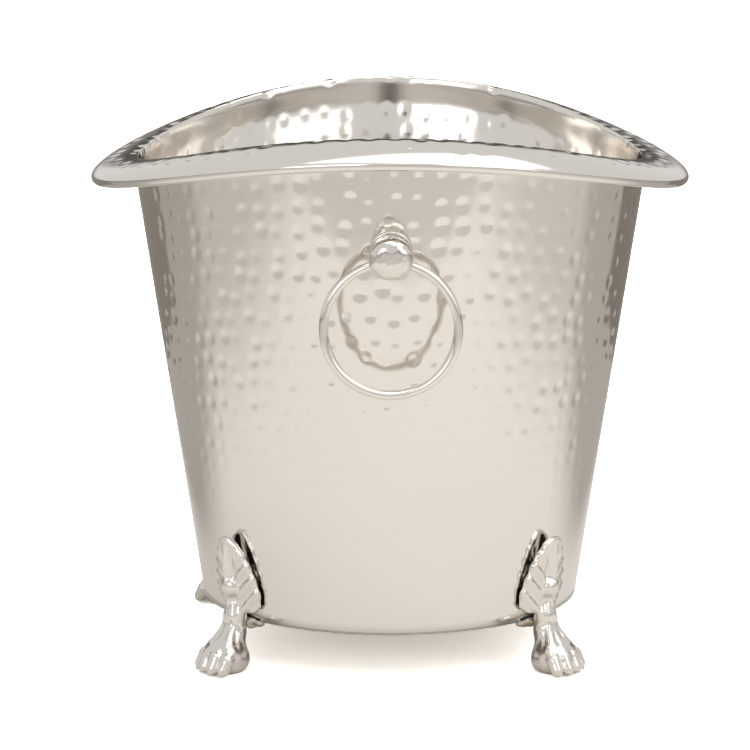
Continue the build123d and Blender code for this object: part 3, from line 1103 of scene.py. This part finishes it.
def brown_solder():
    """Rough brownish brazing, with painted shade in its hollows."""

    def build(tree, finish):
        grain = grouped(tree, grain_group(), Scale=500.0, Pits=1.0)
        # painted shade in the solder's hollows, plus random tarnish patches
        film_and_shade = grouped(tree, shade_and_film_group(), Scale=90.0, Hollow=mask_of(tree, "hollow"), Amount=0.6)
        tone = blended(tree, film_and_shade.outputs[0], finish.solder, finish.tarnish_and_shade)
        tone = blended(tree, mask_of(tree, "ridge"), tone, finish.cast)
        rough = calc(tree, "MULTIPLY_ADD", grain.outputs["Height"], 0.3, 0.35)
        return tone, rough, grain.outputs["Height"], 0.0002

    return metal("brown_solder", build)


# --- Stage ---------------------------------------------------------------------------------

FLOOR_HALF = 8.0  # half the floor's side
FLOOR_TO_CAMERA = (2.6, 2.6, 2.6)  # the camera sees the floor blown out to white
ROOM_TO_CAMERA = (1.0, 1.0, 1.0)
# painted shade: the zones where the metal sees the floor darker
SIDE_ZONE = (0.26, 0.62)  # the floor turns dimmer from here to there, to either side
FRONT_ZONE = (-0.50, -0.52)  # and past here in front
CORNER_SIDE, CORNER_BACK = (0.12, 0.24), (-0.04, 0.15)  # dimmest beside and behind the bucket
GAP_ACROSS, GAP_TOP = (0.22, 0.10), (0.52, 0.38)  # a dark gap in the room behind draws the crest
HORIZON = (0.05, -0.03)  # the room darkens below this
SOFT_BOXES = {  # place, target, width, height and power
    "overhead": ((0.55, -0.75, 2.0), (0.20, -0.35, 0.0), 2.8, 2.2, 24),
    "left_box": ((-1.0, -2.1, 0.75), (0, 0, 0.2), 1.3, 0.9, 4.5),
    "right_box": ((1.4, -1.7, 1.1), (0, 0, 0.15), 1.6, 1.3, 5),
}
LIGHT_TONE = (1.0, 0.985, 0.96)
FLAG_TURNS = (122, 156)  # each flag's ends, in degrees from the front
FLAG_REACH, FLAG_HEIGHT, FLAG_LIFT = 0.62, 0.22, 0.001
FLAG_SIDES = {"flag_left": -1, "flag_right": 1}


def seen_by_camera(tree, to_camera, to_metal):
    """One tone for the camera and another for everything else."""
    seen = put(tree, "ShaderNodeLightPath").outputs["Is Camera Ray"]
    return blended(tree, seen, to_metal, to_camera)


def floor_material(finish):
    """White to the camera; the metal sees it with painted shade in zones far off and beside and behind
    the bucket, which darken the bucket's sides.
    """
    material = bpy.data.materials.new("pale_floor")
    tree = emptied(material)
    across, back, _ = put(tree, "ShaderNodeSeparateXYZ", {0: object_place(tree)}).outputs
    outward = calc(tree, "ABSOLUTE", across)
    beyond = calc(
        tree, "MAXIMUM", smooth_step(tree, outward, *SIDE_ZONE), smooth_step(tree, back, *FRONT_ZONE)
    )
    corners = calc(
        tree, "MULTIPLY",
        smooth_step(tree, back, *CORNER_BACK), smooth_step(tree, outward, *CORNER_SIDE),
    )
    # painted shade on the floor, seen only by the metal
    lit = blended(tree, beyond, finish.floor, finish.floor_far_shade)
    lit = blended(tree, corners, lit, finish.floor_corner_shade)
    tone = seen_by_camera(tree, FLOOR_TO_CAMERA, lit)
    shader = put(tree, "ShaderNodeBsdfDiffuse", {"Color": tone})
    put(tree, "ShaderNodeOutputMaterial", {"Surface": shader.outputs[0]})
    return material


def add_floor(scene):
    """Wide pale floor."""
    points = np.array([[-1, -1, 0], [1, -1, 0], [1, 1, 0], [-1, 1, 0]]) * FLOOR_HALF
    material = floor_material(scene.bucket_finish)
    mesh = new_mesh("floor", points, np.array([[0, 1, 2, 3]]), material, smooth=False)
    floor = bpy.data.objects.new("floor", mesh)
    scene.collection.objects.link(floor)


def add_world(scene):
    """Soft room: pale above, dim round the horizon, and plain white to the camera."""
    world = bpy.data.worlds.new("soft_room")
    tree = emptied(world)
    way = put(tree, "ShaderNodeTexCoord").outputs["Generated"]
    across, back, up = put(tree, "ShaderNodeSeparateXYZ", {0: way}).outputs
    narrow = smooth_step(tree, calc(tree, "ABSOLUTE", across), *GAP_ACROSS)
    narrow = calc(tree, "MULTIPLY", narrow, calc(tree, "GREATER_THAN", back, 0.0))
    behind = calc(tree, "MULTIPLY", narrow, smooth_step(tree, up, *GAP_TOP))
    dim = calc(tree, "MAXIMUM", behind, smooth_step(tree, up, *HORIZON))
    room = blended(tree, dim, scene.bucket_finish.room, scene.bucket_finish.room_low)
    tone = seen_by_camera(tree, ROOM_TO_CAMERA, room)
    shader = put(tree, "ShaderNodeBackground", {"Color": tone, "Strength": 1.0})
    put(tree, "ShaderNodeOutputWorld", {"Surface": shader.outputs[0]})
    scene.world = world


def aimed(location, target):
    """A matrix that places a light and points it at a target."""
    way = Vector(target) - Vector(location)
    turn = way.to_track_quat("-Z", "Y").to_matrix().to_4x4()
    return Matrix.Translation(location) @ turn


def add_lights(scene):
    """Overhead soft box and two side soft boxes."""
    for name, (location, target, wide, tall, power) in SOFT_BOXES.items():
        light = bpy.data.lights.new(name, "AREA")
        light.shape = "RECTANGLE"
        light.size, light.size_y = wide, tall
        light.energy = power
        light.color = LIGHT_TONE
        lamp = bpy.data.objects.new(name, light)
        lamp.matrix_world = aimed(location, target)
        scene.collection.objects.link(lamp)


def add_flags(scene):
    """Grey flags behind, seen only in the metal, that draw the body's edges."""
    grey = bpy.data.materials.new("dark_flag")
    grey.use_nodes = True
    inputs = grey.node_tree.nodes["Principled BSDF"].inputs
    inputs["Base Color"].default_value = rgba(scene.bucket_finish.flag)
    inputs["Roughness"].default_value = 1.0
    for name, side in FLAG_SIDES.items():
        turns = np.linspace(*np.radians(FLAG_TURNS), 12) * side
        across, back = FLAG_REACH * np.sin(turns), -FLAG_REACH * np.cos(turns)
        low = np.stack([across, back, 0 * turns + FLAG_LIFT], -1)
        points = np.concatenate([low, low + np.array([0, 0, FLAG_HEIGHT])])
        n = len(turns)
        faces = np.array([[i, i + 1, n + i + 1, n + i] for i in range(n - 1)])
        flag = bpy.data.objects.new(name, new_mesh(name, points, faces, grey))
        scene.collection.objects.link(flag)
        flag.visible_camera = flag.visible_diffuse = flag.visible_shadow = False


def add_camera(scene):
    """Long-lens camera in front, a little above the rim."""
    studio = scene.bucket_studio
    data = bpy.data.cameras.new("camera")
    data.lens = studio.lens
    data.sensor_width = 36.0
    data.clip_end = 60.0
    camera = bpy.data.objects.new("camera", data)
    camera.location = (studio.camera_side, -studio.camera_distance, studio.camera_height)
    camera.rotation_euler = (math.pi / 2 - studio.camera_tilt, 0, 0)
    scene.collection.objects.link(camera)
    scene.camera = camera


# --- Operators -----------------------------------------------------------------------------


class BUCKET_OT_wall(bpy.types.Operator):
    """Hammered outside of the body, up to under the rim"""

    bl_idname = "bucket.wall"
    bl_label = "Hammered wall"

    def execute(self, context):
        sizes = context.scene.bucket_body
        lines = BodyLines(sizes, WALL_COLUMNS)
        plain = np.linspace(0, 0.24, 10, endpoint=False)  # few rows where the dents have faded out
        rows = np.concatenate([plain, np.linspace(0.24, 1, 118)])
        half = sizes.sheet / 2  # this piece is the sheet's outer half
        inner = lines.flare(6)[:, ::-1] + np.array([-0.5, 0.3]) * half
        profile = np.concatenate(
            [
                lines.wall(0, rows),
                lines.flare(12)[:, 1:],
                inner,
                lines.wall(half, np.array([0.9, 0.0])),
            ],
            axis=1,
        )
        mesh = swept_ring("hammered_wall", profile)
        wall = applied("hammered_wall", mesh, [wall_step(context.scene)], hammered_nickel())
        new_piece("hammered_wall", wall, "bucket", "hammered_nickel", "bucket_shell")
        return {"FINISHED"}


class BUCKET_OT_rim(bpy.types.Operator):
    """Flared rim with its rolled edge, and the inside of the wall"""

    bl_idname = "bucket.rim"
    bl_label = "Rim and lining"

    def execute(self, context):
        sizes = context.scene.bucket_body
        lines = BodyLines(sizes, RIM_COLUMNS)
        half = sizes.sheet / 2 + 0.05 * MM  # just clear of the outer piece's inside
        rows = np.concatenate([np.linspace(1, 0.45, 60), np.linspace(0.42, 0, 14)])
        bend = lines.flare(8) + np.array([-0.9, 0.5]) * half
        profile = np.concatenate(
            [
                lines.wall(half, np.array([0.0, 0.9])),
                bend[:, :-1],
                lines.under_rim(12)[:, :-1],
                lines.edge(EDGE_FROM, EDGE_TO, 20)[:, :-1],
                lines.rim_top(26)[:, :-1],
                lines.throat(14)[:, :-1],
                lines.wall(sizes.sheet, rows),
            ],
            axis=1,
        )
        mesh = swept_ring("rim_and_lining", profile)
        steps = [wall_step(context.scene), rim_step(context.scene)]
        rim = applied("rim_and_lining", mesh, steps, hammered_nickel())
        new_piece("rim_and_lining", rim, "bucket", "hammered_nickel", "bucket_shell")
        return {"FINISHED"}


class BUCKET_OT_base(bpy.types.Operator):
    """Base disc let into the wall, finished as the wall is"""

    bl_idname = "bucket.base"
    bl_label = "Base disc"

    def execute(self, context):
        repaint("base_disc", hammered_nickel())
        return {"FINISHED"}


class BUCKET_OT_knobs(bpy.types.Operator):
    """Pierced knobs and the collars behind them"""

    bl_idname = "bucket.knobs"
    bl_label = "Knobs and collars"

    def execute(self, context):
        scene = context.scene
        sizes = scene.bucket_handles
        shape = KnobShape(sizes, scene.bucket_body)
        reach = sizes.collar_radius / MM + 1
        parts = {
            "knob": (shape.head, -sizes.stud_end / MM - 1, sizes.knob_end / MM + 1),
            "knob_collar": (shape.collar, -2, sizes.collar_end / MM + 1),
        }
        for part, (field, low, high) in parts.items():
            for side, angle in SIDES.items():
                name = f"{side}_{part}"
                mesh, points = cast_mesh(
                    name, field, (-reach, -reach, low), (reach, reach, high), 0.3, cast_nickel()
                )
                set_points(mesh, turned(shape.on_wall(points), angle))
                new_piece(name + "_cast", mesh, "bucket", "cast_nickel", name)
        return {"FINISHED"}


class BUCKET_OT_rings(bpy.types.Operator):
    """Ring handles of slightly uneven wire"""

    bl_idname = "bucket.rings"
    bl_label = "Ring handles"

    def execute(self, context):
        sizes = context.scene.bucket_handles
        radius = (RING_HIGH.x - RING_LOW.x) / 2 - sizes.wire_radius
        centre = (RING_LOW + RING_HIGH) / 2
        tree = ring_tree()
        for side, sign in (("front", 1), ("back", -1)):
            name = f"{side}_ring"
            values = {
                "Radius": radius,
                "Wire Radius": sizes.wire_radius,
                "Place": Vector((0, centre.y * sign, centre.z)),
                "Seed": sign * 7.0,
            }
            empty = bpy.data.meshes.new(name + "_path")
            ring = applied(name + "_wire", empty, [(tree, values)], ring_nickel())
            new_piece(ring.name, ring, f"{side}_ring_body", "ring_nickel", name)
        return {"FINISHED"}


class BUCKET_OT_fixings(bpy.types.Operator):
    """Nuts and washers inside the bucket, finished as bare steel"""

    bl_idname = "bucket.fixings"
    bl_label = "Knob fixings"

    def execute(self, context):
        for side in SIDES:
            repaint(f"{side}_knob_nut", bright_steel())
            repaint(f"{side}_knob_washer", bright_steel())
        return {"FINISHED"}


class BUCKET_OT_feet(bpy.types.Operator):
    """Cast claw feet with their solder beads"""

    bl_idname = "bucket.feet"
    bl_label = "Claw feet"

    def execute(self, context):
        scene = context.scene
        sizes = scene.bucket_feet
        shape = FootShape(sizes, scene.bucket_body)
        cell = sizes.cell / MM
        r = shape.ankle_place
        foot = cast_mesh(
            "claw_foot", shape.field, (-18, r - 14, -1.5), (18, r + 20, 68), cell, cast_nickel()
        )
        bead = cast_mesh(
            "solder_bead", shape.solder, (-17, r - 17, 17), (17, r + 3, 29), cell, brown_solder()
        )
        parts = (("foot", foot, "cast_nickel"), ("solder", bead, "solder"))
        for place, degrees in FEET.items():
            for part, (mesh, points), slot in parts:
                copy = mesh.copy()
                front = points * MM * np.array([-1, -1, 1])
                set_points(copy, turned(front, math.radians(degrees)))
                new_piece(f"{place}_{part}_cast", copy, "bucket", slot, f"{place}_{part}")
        return {"FINISHED"}


class BUCKET_OT_stage(bpy.types.Operator):
    """Pale floor, soft lights and the camera"""

    bl_idname = "bucket.stage"
    bl_label = "Stage"

    def execute(self, context):
        scene = context.scene
        add_floor(scene)
        add_world(scene)
        add_lights(scene)
        add_flags(scene)
        add_camera(scene)
        scene.view_settings.view_transform = "Standard"
        return {"FINISHED"}


# --- Panel and registration ----------------------------------------------------------------


class BUCKET_PT_pieces(bpy.types.Panel):
    """The bucket's pieces and sizes in the sidebar"""

    bl_label = "Champagne bucket"
    bl_space_type = "VIEW_3D"
    bl_region_type = "UI"
    bl_category = "Bucket"

    def draw(self, context):
        layout = self.layout
        for operator in OPERATORS:
            layout.operator(operator.bl_idname)
        for owner in SETTINGS:
            group = getattr(context.scene, owner)
            box = layout.box()
            for key in group.bl_rna.properties.keys():
                if key not in ("rna_type", "name"):
                    box.prop(group, key)


OPERATORS = (
    BUCKET_OT_stage,
    BUCKET_OT_wall,
    BUCKET_OT_rim,
    BUCKET_OT_base,
    BUCKET_OT_knobs,
    BUCKET_OT_rings,
    BUCKET_OT_fixings,
    BUCKET_OT_feet,
)
SETTINGS = {
    "bucket_body": BodySizes,
    "bucket_marks": HammerMarks,
    "bucket_handles": HandleSizes,
    "bucket_feet": FootSizes,
    "bucket_finish": Finishes,
    "bucket_studio": StudioSizes,
}


def register():
    """Makes the operators, the panel and the settings known to Blender."""
    for group in SETTINGS.values():
        bpy.utils.register_class(group)
    for item in (*OPERATORS, BUCKET_PT_pieces):
        bpy.utils.register_class(item)
    for name, group in SETTINGS.items():
        setattr(bpy.types.Scene, name, PointerProperty(type=group))


def unregister():
    """Takes them away again."""
    for name in SETTINGS:
        delattr(bpy.types.Scene, name)
    for item in (*OPERATORS, BUCKET_PT_pieces, *SETTINGS.values()):
        bpy.utils.unregister_class(item)


def main():
    """Builds the bucket on its stage."""
    register()
    for operator in OPERATORS:
        area, action = operator.bl_idname.split(".")
        getattr(getattr(bpy.ops, area), action)()


if __name__ == "__main__":
    main()
